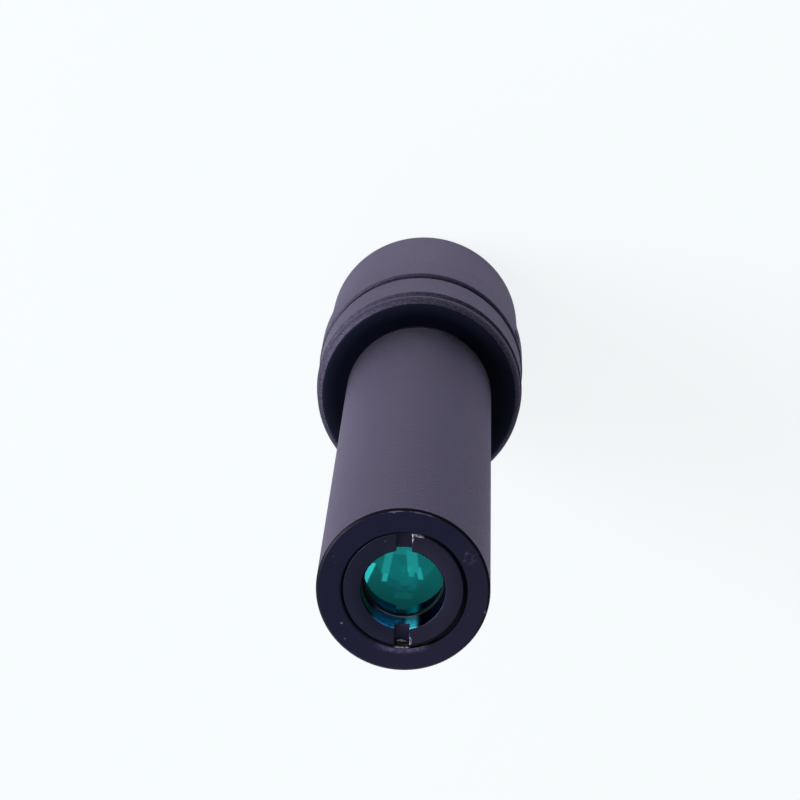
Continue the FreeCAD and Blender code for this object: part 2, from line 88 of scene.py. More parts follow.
class Finish:
    """The nodes of a material in the making, or of the room. Lengths are in millimetres."""

    def __init__(self, owner):
        self.owner = owner
        owner.use_nodes = True
        owner.node_tree.nodes.clear()

    def node(self, kind, settings, sockets, output=0):
        """Add one node: its settings first, then the values or links of its sockets."""
        tree = self.owner.node_tree
        node = tree.nodes.new("ShaderNode" + kind)
        for name, setting in settings.items():
            if name == "stops":
                self.lay_stops(node.color_ramp.elements, setting)
            else:
                setattr(node, name, setting)
        for name, content in sockets.items():
            socket = node.inputs[name]
            if isinstance(content, Value):
                tree.links.new(content.socket, socket)
            elif socket.type == "RGBA":
                socket.default_value = (*content, 1)
            else:
                socket.default_value = content
        return Value(self, node.outputs[output]) if node.outputs else None

    def lay_stops(self, elements, stops):
        """Set a new ramp's two stops and add the others; a stop is its position and colour."""
        for index, (position, colour) in enumerate(stops):
            stop = elements[index] if index < 2 else elements.new(position)
            stop.position = position
            stop.color = (*colour, 1)

    @cached_property
    def place(self):
        metres = self.node("TexCoord", {}, {}, "Object")
        return self.node("VectorMath", {"operation": "SCALE"}, {"Vector": metres, "Scale": 1000})

    @cached_property
    def x(self):
        return self.node("SeparateXYZ", {}, {0: self.place}, "X")

    @cached_property
    def y(self):
        return self.node("SeparateXYZ", {}, {0: self.place}, "Y")

    @cached_property
    def z(self):
        return self.node("SeparateXYZ", {}, {0: self.place}, "Z")

    @cached_property
    def radius(self):
        return (self.x * self.x + self.y * self.y) ** 0.5

    def math(self, operation, first, second=0):
        return self.node("Math", {"operation": operation}, {0: first, 1: second})

    def noise(self, lumps, detail):
        """Cloudy variation from 0 to 1, with so many lumps to a millimetre."""
        return self.node("TexNoise", {}, {"Vector": self.place, "Scale": lumps, "Detail": detail})

    def turning_marks(self, along, lines, detail=3):
        """Rings left by the turning tool, so many to a millimetre along the radius or the height."""
        settings = {"noise_dimensions": "1D"}
        return self.node("TexNoise", settings, {"W": along, "Scale": lines, "Detail": detail})

    def fade(self, value, low, high):
        """0 up to low and 1 from high on; with low the larger, 1 up to high and 0 from low on."""
        return self.node(
            "MapRange", {"interpolation_type": "SMOOTHSTEP"},
            {"Value": value, "From Min": low, "From Max": high})

    def patch(self, centre, width, length, turn=0, soft=0.6):
        """An oval patch in plan view: 1 in its middle and 0 outside."""
        through = 1e6
        oval = self.node(
            "Mapping", {"vector_type": "TEXTURE"},
            {"Vector": self.place, "Location": (*centre, 0), "Rotation": (0, 0, math.radians(turn)),
             "Scale": (width / 2, length / 2, through)})
        reach = self.node("VectorMath", {"operation": "LENGTH"}, {"Vector": oval}, "Value")
        return self.fade(reach, 1, 1 - soft)

    def colour(self, mask, plain, marked):
        """The plain colour where the mask is 0 and the marked one where it is 1."""
        return self.node("Mix", {"data_type": "RGBA"}, {0: mask, 6: plain, 7: marked}, 2)

    def relief(self, height, depth):
        """A surface relief of so many millimetres, from a height of 0 to 1."""
        return self.node("Bump", {}, {"Height": height, "Distance": depth / 1000})

    def close(self, **sockets):
        """Add the shader, with spaces for the underscores in its sockets' names, and end there."""
        contents = {name.replace("_", " "): content for name, content in sockets.items()}
        return self.end(self.node("BsdfPrincipled", {}, contents))

    def end(self, shader):
        self.node("OutputMaterial", {}, {"Surface": shader})
        return self.owner


def blasted_black():
    """Bead-blasted black anodise: fine even grain, purplish grey at a low angle, rubbed in places."""
    finish = Finish(bpy.data.materials.new("blasted_black_anodise"))
    grain = finish.noise(3.6, 3)
    cloud = finish.noise(0.12, 3)
    rubbed = finish.fade(finish.noise(0.9, 4), 0.62, 0.74)
    tone = finish.colour(cloud, (0.026, 0.024, 0.039), (0.037, 0.033, 0.056))
    tone = finish.colour(finish.fade(grain, 0.36, 0.68) * 0.6, tone, (0.092, 0.080, 0.134))
    return finish.close(
        Base_Color=finish.colour(rubbed * 0.25, tone, (0.065, 0.055, 0.090)),
        Metallic=0.8,
        Roughness=0.30 + 0.34 * grain - 0.06 * rubbed,
        Specular_Tint=(0.85, 0.75, 1.0),
        Specular_IOR_Level=0.5,
        Sheen_Weight=0.15,
        Sheen_Roughness=0.25,
        Sheen_Tint=(0.86, 0.80, 1.0),
        Normal=finish.relief(grain, 0.16),
    )


def faced_black():
    """Turned and anodised end face: fine turning marks, near black, the spanner's scars and painted light and
    shade.
    """
    finish = Finish(bpy.data.materials.new("faced_black_anodise"))
    radius = finish.radius
    marks = finish.turning_marks(radius, 9)
    cloud = finish.noise(0.5, 4)
    fine = finish.noise(7, 2)

    scuffed = finish.patch((-9.4, -5.6), 3.6, 3.2) * finish.fade(finish.noise(2.2, 4), 0.5, 0.66)
    speck_cloud = finish.node("TexVoronoi", {}, {"Vector": finish.place, "Scale": 0.9}, "Distance")
    specks = finish.fade(speck_cloud, 0.10, 0.05) * finish.fade(finish.noise(0.35, 2), 0.5, 0.58)
    nicks = finish.patch((8.7, 5.3), 0.55, 0.45) | finish.patch((8.2, 7.7), 0.32, 0.32)
    nicks = nicks | finish.patch((-11.85, 2.9), 0.4, 0.9) | finish.patch((1.6, -11.95), 0.7, 0.35)

    bearing = finish.math("ABSOLUTE", finish.math("ARCTAN2", finish.x, finish.y))
    slip = finish.fade(radius, mouth_radius - 0.15, mouth_radius + 0.02)
    slip = slip * finish.fade(radius, mouth_radius + 0.88, mouth_radius + 0.15)
    slip = slip * finish.fade(bearing, 0.47, 0.25)
    slip = slip * (0.4 + 0.6 * finish.fade(finish.noise(2, 4), 0.4, 0.6))
    bare = finish.patch((0, 8.9), 2.5, 1.0, soft=0.3)
    bare = bare * finish.fade(radius, mouth_radius - 0.12, mouth_radius - 0.18)
    bare = bare * finish.fade(finish.noise(3.5, 3), 0.33, 0.50) * 0.75

    # Painted shade: the outer chamfer is made near black and mirrors little.
    shaded_chamfer = finish.fade(radius, rim_radius - 0.03, rim_radius + 0.05)
    # A thin light line along the top of the outer edge: partly rubbed wear, partly a painted highlight.
    rubbed = finish.fade(radius, rim_radius - 0.09, rim_radius - 0.05)
    rubbed = rubbed * finish.fade(radius, rim_radius + 0.09, rim_radius + 0.03)
    rubbed = rubbed * finish.patch((-1.5, -12.2), 12, 3) * finish.fade(finish.noise(1.1, 4), 0.3, 0.6)
    # Painted shade: a near-black crescent round the mouth, widest towards -X.
    narrowed = 0.38 * finish.fade(finish.x, -7, 3)
    painted_shade_crescent = finish.fade(radius + narrowed, mouth_radius + 0.25, mouth_radius + 0.05)

    tone = finish.colour(cloud, (0.0035, 0.0045, 0.0230), (0.0060, 0.0062, 0.0260))
    # Painted light: the face is lighter and warmer towards +Y and -X.
    painted_light_side = finish.fade(finish.y - finish.x, -8, 16) * 0.8
    tone = finish.colour(painted_light_side, tone, (0.0125, 0.0100, 0.0310))
    tone = finish.colour(shaded_chamfer, tone, (0.0035, 0.0030, 0.0060))
    tone = finish.colour(painted_shade_crescent, tone, (0.0008, 0.0008, 0.0016))
    tone = finish.colour(slip, tone, (0.078, 0.066, 0.135))
    tone = finish.colour((scuffed * 0.4) | (specks * 0.7), tone, (0.08, 0.075, 0.13))
    return finish.close(
        Base_Color=finish.colour(bare | (rubbed * 0.22) | (nicks * 0.2), tone, (0.55, 0.50, 0.66)),
        Metallic=bare | (painted_shade_crescent * (1 - slip)) | (shaded_chamfer * 0.7),
        Roughness=0.36 + 0.10 * cloud + 0.10 * scuffed - 0.05 * bare,
        Specular_Tint=(0.84, 0.84, 1.0),
        Specular_IOR_Level=0.304,
        Normal=finish.relief(marks * 0.6 + fine * 0.25 - slip * 0.3, 0.010),
    )


def dull_black():
    """Dull black anodise inside, where stray light has to die."""
    finish = Finish(bpy.data.materials.new("dull_black_anodise"))
    cloud = finish.noise(1.5, 3)
    return finish.close(
        Base_Color=finish.colour(cloud, (0.010, 0.010, 0.012), (0.016, 0.016, 0.019)),
        Roughness=0.62 + 0.15 * cloud,
        Normal=finish.relief(cloud, 0.01),
    )


def lathe(corners, steps=256):
    """Turn a half section about the optical axis; a corner is its radius and height in mm."""
    mesh = bmesh.new()
    row = [mesh.verts.new((radius / 1000, 0, height / 1000)) for radius, height in corners]
    outline = [mesh.edges.new(pair) for pair in zip(row, row[1:] + row[:1])]
    turn_full(mesh, row + outline, steps)
    return mesh


def turn_full(mesh, section, steps=256):
    """Turn a section once round the optical axis and close its seam and poles."""
    bmesh.ops.spin(
        mesh, geom=section, cent=(0, 0, 0), axis=(0, 0, 1), dvec=(0, 0, 0),
        angle=math.tau, steps=steps, use_merge=True, use_duplicate=False)
    bmesh.ops.remove_doubles(mesh, verts=mesh.verts, dist=1e-7)
    bmesh.ops.recalc_face_normals(mesh, faces=mesh.faces)


def round_edges(mesh, edges, size, segments):
    """Round the edges; size is in mm."""
    bmesh.ops.bevel(
        mesh, geom=edges, offset=size / 1000, offset_type="OFFSET", segments=segments,
        profile=0.5, affect="EDGES", clamp_overlap=False, material=-1)


def break_edges(mesh, size):
    """Take the sharpness off every edge that a tool left."""
    sharp = math.radians(25)
    edges = [edge for edge in mesh.edges if edge.is_manifold and edge.calc_face_angle() > sharp]
    round_edges(mesh, edges, size, 2)


def surface_from(mesh, index, test):
    """Give the faces that pass the test the piece's material of that number."""
    for face in mesh.faces:
        centre = face.calc_center_median() * 1000
        if test(centre.xy.length, centre.z, face.normal):
            face.material_index = index


def lay_in_scene(name, mesh):
    data = bpy.data.meshes.new(name)
    bmesh.ops.recalc_face_normals(mesh, faces=mesh.faces)
    mesh.to_mesh(data)
    mesh.free()
    item = bpy.data.objects.new(name, data)
    bpy.context.scene.collection.objects.link(item)
    return item


def crease(piece):
    """Keep the shading sharp across the piece's corners."""
    piece.data.set_sharp_from_angle(angle=math.radians(40))


def put_together(name, mesh, materials, slot, *nodes):
    """Make the piece from its mesh, in place of its plain solids."""
    piece = lay_in_scene(name, mesh)
    for material in materials:
        piece.data.materials.append(material)
    piece.data.polygons.foreach_set("use_smooth", [True] * len(piece.data.polygons))
    crease(piece)
    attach(piece, "root")
    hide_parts(*nodes)
    return piece


def even_shading(piece):
    """Keep wide flat faces flat beside their narrow rounded edges."""
    piece.modifiers.new("even_shading", "WEIGHTED_NORMAL").keep_sharp = True


blasted = blasted_black()
faced = faced_black()
dull = dull_black()

barrel = lathe([
    (bore_radius, neck_foot), (neck_radius - tube_edge, neck_foot), (neck_radius, neck_foot + tube_edge),
    (neck_radius, shoulder), (tube_radius, shoulder), (tube_radius, input_face - tube_edge),
    (rim_radius, input_face), (mouth_radius, input_face), (thread_radius, input_face - mouth_edge),
    (thread_radius, thread_floor), (lens_bore_radius, thread_floor), (lens_bore_radius, lens_seat),
    (web_radius, lens_seat), (web_radius, web_foot), (bore_radius, web_foot),
])
break_edges(barrel, 0.05)
surface_from(barrel, 1, lambda radius, height, normal: (
    radius > 8.5 and height > input_face - 0.5 and normal.z > 0.2))
surface_from(barrel, 2, lambda radius, height, normal: (
    radius < thread_radius + 0.1 and height < input_face - 0.35
    or radius < bore_radius + 0.1 and height < web_foot + 0.8))
even_shading(put_together("barrel_tube", barrel, (blasted, faced, dull), "black_anodised", "barrel"))

# Input retaining ring. A threaded aluminium ring, anodised black, that screws down on the input
# lens's slip ring with a pin spanner in its two milled slots. The spanner has chipped the black
# off the slots' edges, and the ring's bore is polished by the tool that turned it.

ring_foot, ring_top, ring_edge = 125.3, 129.4, 0.2
ring_bore, ring_radius = 5.95, 8.75
slot_width, slot_floor = 2.2, 127.7


def mill_slot(mesh, width, floor, side):
    """Mill a slot along Y through both sides of a ring; side is 1 for its top and -1 for its foot."""
    half = width / 2000
    level = floor / 1000
    near, touching, merging = 8e-5, 1e-6, 1e-7
    for vert in mesh.verts:
        if abs(abs(vert.co.x) - half) < near:
            vert.co.x = math.copysign(half, vert.co.x)
    for point, normal in (((half, 0, 0), (1, 0, 0)), ((-half, 0, 0), (1, 0, 0)), ((0, 0, level), (0, 0, 1))):
        everything = mesh.verts[:] + mesh.edges[:] + mesh.faces[:]
        bmesh.ops.bisect_plane(mesh, geom=everything, dist=merging, plane_co=point, plane_no=normal)
    waste = [
        face for face in mesh.faces
        if abs(face.calc_center_median().x) < half and (face.calc_center_median().z - level) * side > 0
    ]
    bmesh.ops.delete(mesh, geom=waste, context="FACES")
    for end in (1, -1):
        open_edges = [edge for edge in mesh.edges if edge.is_boundary and edge.verts[0].co.y * end > 0]
        feet = []
        for wall in (half, -half):
            outline = [
                edge for edge in open_edges
                if all(abs(vert.co.x - wall) < touching for vert in edge.verts)
            ]
            corners = {vert for edge in outline for vert in edge.verts if abs(vert.co.z - level) < touching}
            foot = mesh.edges.new(corners)
            feet.append(foot)
            bmesh.ops.contextual_create(mesh, geom=outline + [foot])
        bed = [edge for edge in open_edges if all(abs(vert.co.z - level) < touching for vert in edge.verts)]
        bmesh.ops.contextual_create(mesh, geom=bed + feet)


def spannered_black():
    """Anodised ring worn by its spanner: bare metal on the slots' corners, faint specks, painted light on one
    side and in the slot beds.
    """
    finish = Finish(bpy.data.materials.new("spannered_black_anodise"))
    marks = finish.turning_marks(finish.radius, 11)
    cloud = finish.noise(0.6, 4)
    bed = finish.fade(finish.z, slot_floor + 0.6, slot_floor + 0.2)
    chip_edge = finish.fade(finish.noise(4.5, 4), 0.38, 0.56)
    top_wall = finish.patch((-1.16, -8.0), 0.42, 1.7, soft=0.5)
    top_corner = finish.patch((-2.0, -8.35), 1.9, 0.5, turn=-14, soft=0.5)
    foot_corner = finish.patch((-1.2, 7.9), 0.5, 1.5, soft=0.5)
    foot_end = finish.patch((0.1, 8.72), 1.7, 0.8, soft=0.4) * finish.fade(finish.noise(3.4, 2), 0.30, 0.46)
    bare = (top_wall | top_corner | foot_corner) * chip_edge
    specks = finish.patch((2.7, -7.4), 0.35, 0.35) | finish.patch((0.95, -8.2), 0.4, 0.9)
    stain = finish.patch((-2.0, 6.5), 1.2, 0.9)
    tone = finish.colour(cloud, (0.0045, 0.0050, 0.0120), (0.0070, 0.0068, 0.0150))
    # Painted light: the ring's face is lighter towards -X.
    tone = finish.colour(finish.fade(finish.x, 6, -6) * 0.8, tone, (0.0150, 0.0132, 0.0265))
    # Painted light: the slot beds are made lighter than the face.
    tone = finish.colour(bed, tone, (0.030, 0.026, 0.058))
    tone = finish.colour(stain * 0.5, tone, (0.035, 0.008, 0.030))
    tone = finish.colour(specks * 0.5, tone, (0.09, 0.09, 0.13))
    return finish.close(
        Base_Color=finish.colour(bare | foot_end, tone, (0.62, 0.58, 0.70)),
        Metallic=bare,
        Roughness=0.34 + 0.10 * cloud + 0.30 * bare,
        Specular_Tint=(0.5, 0.52, 1.0),
        Specular_IOR_Level=0.52,
        Normal=finish.relief(marks * 0.6 - bare, 0.012),
    )


def bored_black():
    """Smooth turned bore, anodised and glossy, with painted reflections of the lens's blue and green light
    and painted shade on one side.
    """
    finish = Finish(bpy.data.materials.new("bored_black_anodise"))
    marks = finish.turning_marks(finish.z, 6, 2)
    ragged = finish.noise(1.4, 3)
    # Painted reflections of the lens's light on the bore wall: a bright cyan patch and a ragged blue one.
    bright = finish.patch((-1.25, 5.95), 2.3, 3.4)
    # Painted shade: the bore wall is near black towards -X.
    painted_shade_side = finish.fade(finish.x, -2.1, -2.8)
    painted_blue_reflection = finish.patch((2.2, 5.2), 5.8, 4.2, soft=0.5) * finish.fade(ragged, 0.26, 0.50)
    tone = finish.colour(marks, (0.004, 0.005, 0.010), (0.006, 0.008, 0.014))
    tone = finish.colour(painted_shade_side, tone, (0.0010, 0.0012, 0.0030))
    tone = finish.colour(painted_blue_reflection, tone, (0.022, 0.27, 0.63))
    return finish.close(
        Base_Color=finish.colour(bright, tone, (0.08, 0.77, 1.0)),
        Metallic=(painted_blue_reflection * 0.64) | (finish.fade(bright, 0, 0.25) * 0.65) | painted_shade_side,
        Roughness=0.16 + 0.05 * marks + 0.2 * painted_shade_side,
        Specular_Tint=(0.40, 0.45, 0.60),
        Specular_IOR_Level=0.12,
        Normal=finish.relief(marks, 0.001),
    )


input_ring = lathe([
    (ring_bore, ring_foot), (ring_radius, ring_foot), (ring_radius, ring_top - ring_edge),
    (ring_radius - ring_edge, ring_top), (ring_bore + ring_edge, ring_top), (ring_bore, ring_top - ring_edge),
])
mill_slot(input_ring, slot_width, slot_floor, side=1)
break_edges(input_ring, 0.06)
surface_from(input_ring, 1, lambda radius, height, normal: radius < ring_bore + 0.25 and abs(normal.z) < 0.8)
even_shading(put_together(
    "input_spanner_ring", input_ring, (spannered_black(), bored_black()), "black_anodised",
    "input_retaining_ring"))

# Input slip ring. A thin black acetal washer, pressed flat between the turning ring and the glass
# so that the glass isn't scratched. Only its bore shows, as a thin line below the ring, with a
# painted highlight along its lower edge.

slip_bore, slip_radius, glass_top = 5.65, 8.3, 124.95


def black_acetal():
    finish = Finish(bpy.data.materials.new("black_acetal"))
    cloud = finish.noise(2, 3)
    tone = finish.colour(cloud, (0.006, 0.006, 0.007), (0.012, 0.012, 0.014))
    # Painted highlight: a thin pale band on the washer's face just inside the ring's bore, towards +Y.
    painted_highlight_line = finish.fade(finish.radius, slip_bore + 0.13, slip_bore + 0.19)
    painted_highlight_line = painted_highlight_line * finish.patch((1.4, 5.8), 9, 5, soft=0.7)
    return finish.close(
        Base_Color=finish.colour(painted_highlight_line, tone, (0.26, 0.27, 0.38)),
        Roughness=0.50 + 0.12 * cloud,
        Specular_IOR_Level=0.25,
        Normal=finish.relief(cloud, 0.004),
    )


acetal = black_acetal()
slip_ring = lathe([
    (slip_bore, glass_top), (slip_radius, glass_top), (slip_radius, ring_foot), (slip_bore, ring_foot),
])
break_edges(slip_ring, 0.04)
even_shading(put_together("input_slip_washer", slip_ring, (acetal,), "black_polymer", "input_slip_ring"))

# Input lens and output lens. Ground and polished glass, hollow on both sides at the input and
# bulging at the output, with a coating for one laser line that mirrors green-blue in daylight.
# Each sits in its bore on a flat ground rim with bevelled edges.


def coated_glass():
    finish = Finish(bpy.data.materials.new("coated_glass"))
    dust = finish.fade(finish.noise(3.5, 5), 0.70, 0.78)
    blue_edge = finish.fade(finish.radius, 5.0, 6.4)
    return finish.close(
        Base_Color=finish.colour(blue_edge, (0.045, 0.95, 0.93), (0.030, 0.68, 0.98)),
        Metallic=0.26,
        Roughness=0.012 + 0.10 * dust,
        IOR=1.5,
        Transmission_Weight=1.0,
        Specular_Tint=(0.08, 1.0, 1.0),
    )


def inner_coating():
    """The lens's far side: coated against reflections, so that it shows only a faint glint."""
    finish = Finish(bpy.data.materials.new("anti_reflection_glass"))
    cloud = finish.noise(0.8, 2)
    return finish.close(
        Base_Color=finish.colour(cloud, (0.30, 0.80, 0.85), (0.36, 0.86, 0.90)),
        Roughness=0.015 + 0.01 * cloud,
        IOR=1.5,
        Specular_IOR_Level=0.0,
        Transmission_Weight=1.0,
    )


def ground_lens(rim, reach, foot, foot_curve, top, top_curve):
    """A lens from its flat rim's levels and its two curves; a curve below 0 is hollow."""
    mesh = bmesh.new()
    ends = []
    for level, curve, outward in ((foot, foot_curve, -1), (top, top_curve, 1)):
        sag = abs(curve) - math.sqrt(curve ** 2 - reach ** 2)
        pole = level + math.copysign(sag, curve) * outward
        centre = pole - curve * outward
        vert = mesh.verts.new((0, 0, pole / 1000))
        row = bmesh.ops.spin(
            mesh, geom=[vert], cent=(0, 0, centre / 1000), axis=(0, 1, 0), dvec=(0, 0, 0),
            angle=math.asin(reach / (pole - centre)), steps=24, use_duplicate=False)
        ends.append(row["geom_last"][0])
    bevel = 0.2
    corners = [(rim - bevel, foot), (rim, foot + bevel), (rim, top - bevel), (rim - bevel, top)]
    row = [ends[0], *(mesh.verts.new((radius / 1000, 0, level / 1000)) for radius, level in corners), ends[1]]
    for pair in zip(row, row[1:]):
        mesh.edges.new(pair)
    turn_full(mesh, mesh.verts[:] + mesh.edges[:])
    return mesh


glass = coated_glass()
input_lens = ground_lens(
    rim=8.3, reach=6.5, foot=lens_seat, foot_curve=-45, top=glass_top, top_curve=-225)
surface_from(input_lens, 1, lambda radius, height, normal: normal.z < 0)
put_together("input_lens_glass", input_lens, (glass, inner_coating()), "coated_glass", "input_lens")
output_lens = ground_lens(rim=14.7, reach=13, foot=4.76, foot_curve=75, top=8.26, top_curve=150)
put_together("output_lens_glass", output_lens, (glass,), "coated_glass", "output_lens")

# Lock collar. Turned from aluminium bar, blasted and anodised as the barrel is. It runs on the
# barrel's thread and jams against the head housing: a rounded lip, a grip band between two
# grooves, and a mouth that takes the dust seal.

joint, collar_front = 28.2, 42.2
head_thread, head_edge = 12.35, 0.3
boss_radius, band_radius, groove_radius, lip_radius = 16.9, 17.8, 16.7, 17.6
band_foot, band_top, lip_foot, groove_slope = 30.2, 38.7, 40.45, 0.3
seal_radius, seal_foot, seal_top = 13.36, 37.87, 39.23


def edge_ring(mesh, radius, height):
    """The edges of a turned piece that lie on one circle."""
    close = 0.01

    def on_circle(vert):
        place = vert.co * 1000
        return abs(place.xy.length - radius) < close and abs(place.z - height) < close

    return [edge for edge in mesh.edges if all(on_circle(vert) for vert in edge.verts)]


def shaded_turned_front():
    """The collar's front face: a darker copy of the turned anodise that paints shade, darkest near the
    barrel.
    """
    finish = Finish(bpy.data.materials.new("shaded_front_anodise"))
    marks = finish.turning_marks(finish.radius, 8)
    cloud = finish.noise(0.5, 4)
    # Painted shade: the whole face is darker than the barrel's end face, and darkest near the barrel.
    tone = finish.colour(cloud, (0.0010, 0.0012, 0.0032), (0.0020, 0.0022, 0.0056))
    tone = finish.colour(finish.fade(finish.radius, 14.0, 16.6) * 0.8, tone, (0.0085, 0.0095, 0.0210))
    return finish.close(
        Base_Color=tone,
        Roughness=0.30 + 0.10 * cloud,
        Specular_Tint=(0.42, 0.55, 1.0),
        Specular_IOR_Level=0.14,
        Normal=finish.relief(marks, 0.004),
    )


collar = lathe([
    (head_thread + head_edge, joint), (boss_radius, joint), (boss_radius, band_foot - groove_slope),
    (band_radius, band_foot), (band_radius, band_top), (groove_radius, band_top + groove_slope),
    (groove_radius, lip_foot - groove_slope), (lip_radius, lip_foot), (lip_radius, collar_front),
    (head_thread + head_edge, collar_front), (head_thread, collar_front - head_edge),
    (head_thread, seal_top), (seal_radius, seal_top), (seal_radius, seal_foot), (head_thread, seal_foot),
    (head_thread, joint + head_edge),
])
round_edges(collar, edge_ring(collar, lip_radius, collar_front), 1.5, 8)
break_edges(collar, 0.08)
surface_from(collar, 1, lambda radius, height, normal: radius < 13.5 and normal.z < 0.9)
surface_from(collar, 2, lambda radius, height, normal: (
    radius > 12.5 and height > collar_front - 0.1 and normal.z > 0.85))
even_shading(put_together(
    "lock_collar_body", collar, (blasted, dull, shaded_turned_front()), "black_anodised", "lock_collar"))

# Head housing. Aluminium, turned, blasted and anodised: a broad flange at the joint with the
# collar, a slim tapered body below it, and the bore for the output glass. Two holes through the
# flange take the set screws that lock the barrel.

flange_radius, flange_foot, flange_edge = 18, 19.7, 0.3
taper_radius, end_radius, end_chamfer = 17.5, 16.35, 0.8
barrel_stop, light_radius, glass_stop = 15.76, 11, 13.76
glass_radius, output_thread, output_thread_top = 14.8, 15.2, 3.9
drill_radius, drill_floor, drill_mouth, countersink = 1.3, 12, 17.8, 0.5


def bored_by(piece, bit):
    """Cut the bit's shape out of the piece, and put the bit away."""
    cut = piece.modifiers.new("cut", "BOOLEAN")
    cut.operation = "DIFFERENCE"
    cut.solver = "EXACT"
    cut.object = bit
    done = piece.evaluated_get(bpy.context.evaluated_depsgraph_get())
    piece.data = bpy.data.meshes.new_from_object(done)
    piece.modifiers.clear()
    bpy.data.objects.remove(bit)
    crease(piece)


def lay_across(mesh):
    """Lay a bit or screw that was made upright along both screw bearings, at the screws' height."""
    screw_height = 25.6
    twin = bmesh.ops.duplicate(mesh, geom=mesh.verts[:] + mesh.edges[:] + mesh.faces[:])["geom"]
    twin_verts = [item for item in twin if isinstance(item, bmesh.types.BMVert)]
    first_verts = [vert for vert in mesh.verts if vert not in set(twin_verts)]
    for verts, bearing in ((first_verts, 200), (twin_verts, 20)):
        turn = Matrix.Rotation(math.radians(bearing), 4, "Z") @ Matrix.Rotation(math.radians(90), 4, "Y")
        lift = Matrix.Translation((0, 0, screw_height / 1000))
        bmesh.ops.transform(mesh, matrix=lift @ turn, verts=verts)


housing = lathe([
    (output_thread + head_edge, 0), (end_radius, 0), (end_radius + end_chamfer, end_chamfer),
    (taper_radius, flange_foot), (flange_radius - flange_edge, flange_foot),
    (flange_radius, flange_foot + flange_edge), (flange_radius, joint - flange_edge),
    (flange_radius - flange_edge, joint), (head_thread + head_edge, joint), (head_thread, joint - head_edge),
    (head_thread, barrel_stop), (light_radius, barrel_stop), (light_radius, glass_stop),
    (glass_radius, glass_stop), (glass_radius, output_thread_top), (output_thread, output_thread_top),
    (output_thread, head_edge),
])
break_edges(housing, 0.08)
surface_from(housing, 1, lambda radius, height, normal: radius < output_thread + 0.1 and 0.2 < height < 28)
housing = put_together("head_housing_body", housing, (blasted, dull), "black_anodised", "head_housing")
screw_drill = lathe([
    (0, drill_floor), (drill_radius, drill_floor), (drill_radius, drill_mouth),
    (drill_radius + countersink, drill_mouth + countersink), (0, drill_mouth + countersink),
], steps=64)
lay_across(screw_drill)
bored_by(housing, lay_in_scene("screw_drill", screw_drill))
even_shading(housing)

# Set screws. Two headless black-oxide steel screws with hexagon sockets, opposite each other in
# the flange and sunk below its surface. Each presses a soft slug on the barrel's neck.

screw_radius, screw_edge = 1.25, 0.2
screw_tip, screw_end = 13.6, 16.8
key_radius, key_length = 0.75, 2.4


def black_steel():
    finish = Finish(bpy.data.materials.new("black_oxide_steel"))
    cloud = finish.noise(1.8, 4)
    worn = finish.fade(cloud, 0.56, 0.68)
    return finish.close(
        Base_Color=finish.colour(worn, (0.035, 0.035, 0.038), (0.16, 0.155, 0.15)),
        Metallic=0.85,
        Roughness=0.36 + 0.16 * cloud,
        Normal=finish.relief(cloud, 0.006),
    )


screw_blank = lathe([
    (0, screw_tip), (screw_radius - screw_edge, screw_tip), (screw_radius, screw_tip + screw_edge),
    (screw_radius, screw_end - screw_edge), (screw_radius - screw_edge, screw_end), (0, screw_end),
], steps=48)
lay_across(screw_blank)
screws = put_together("set_screw_pair", screw_blank, (black_steel(),), "black_steel", "set_screws")
hexagon = bmesh.new()
bmesh.ops.create_cone(
    hexagon, segments=6, cap_ends=True, radius1=key_radius / 1000, radius2=key_radius / 1000,
    depth=key_length / 1000, matrix=Matrix.Translation((0, 0, screw_end / 1000)))
lay_across(hexagon)
bored_by(screws, lay_in_scene("hexagon_key", hexagon))
even_shading(screws)

# Output retaining ring. A threaded aluminium ring with two slots, just inside the head's end, that
# holds the output lens through its square-cut seal. It is anodised as the input ring is, and
# less worn.

output_foot, output_top, output_edge = 0.5, 3.3, 0.2
output_bore, output_radius = 12.7, 15.15


def ring_black():
    finish = Finish(bpy.data.materials.new("ring_black_anodise"))
    marks = finish.turning_marks(finish.radius, 9)
    cloud = finish.noise(0.5, 4)
    slot_edge = finish.patch((1.4, 14), 0.5, 3) | finish.patch((-1.4, -14), 0.5, 3)
    bare = slot_edge * finish.fade(finish.noise(4, 4), 0.52, 0.62)
    tone = finish.colour(cloud, (0.0085, 0.0080, 0.0150), (0.0115, 0.0105, 0.0190))
    return finish.close(
        Base_Color=finish.colour(bare, tone, (0.50, 0.49, 0.52)),
        Metallic=bare,
        Roughness=0.36 + 0.10 * cloud,
        Specular_Tint=(0.82, 0.78, 1.0),
        Specular_IOR_Level=0.4,
        Normal=finish.relief(marks, 0.006),
    )


output_ring = lathe([
    (output_bore, output_foot), (output_radius - output_edge, output_foot),
    (output_radius, output_foot + output_edge), (output_radius, output_top), (output_bore, output_top),
])
mill_slot(output_ring, width=2.8, floor=2.1, side=-1)
break_edges(output_ring, 0.07)
even_shading(put_together(
    "output_spanner_ring", output_ring, (ring_black(),), "black_anodised", "output_retaining_ring"))

# Inner pieces. Deep in the barrel and head: the mapping lens and the meniscus, the baffles and
# rings screwed in the bore, the spacer, the brass focus shim, the felt and rubber seals and the
# acetal slugs under the screws. Their plain solids stay and get their finishes.


def felt_black():
    finish = Finish(bpy.data.materials.new("felt_and_rubber"))
    fibre = finish.noise(6, 5)
    return finish.close(
        Base_Color=finish.colour(fibre, (0.012, 0.012, 0.013), (0.026, 0.025, 0.026)),
        Roughness=0.8 + 0.15 * fibre,
        Normal=finish.relief(fibre, 0.03),
    )


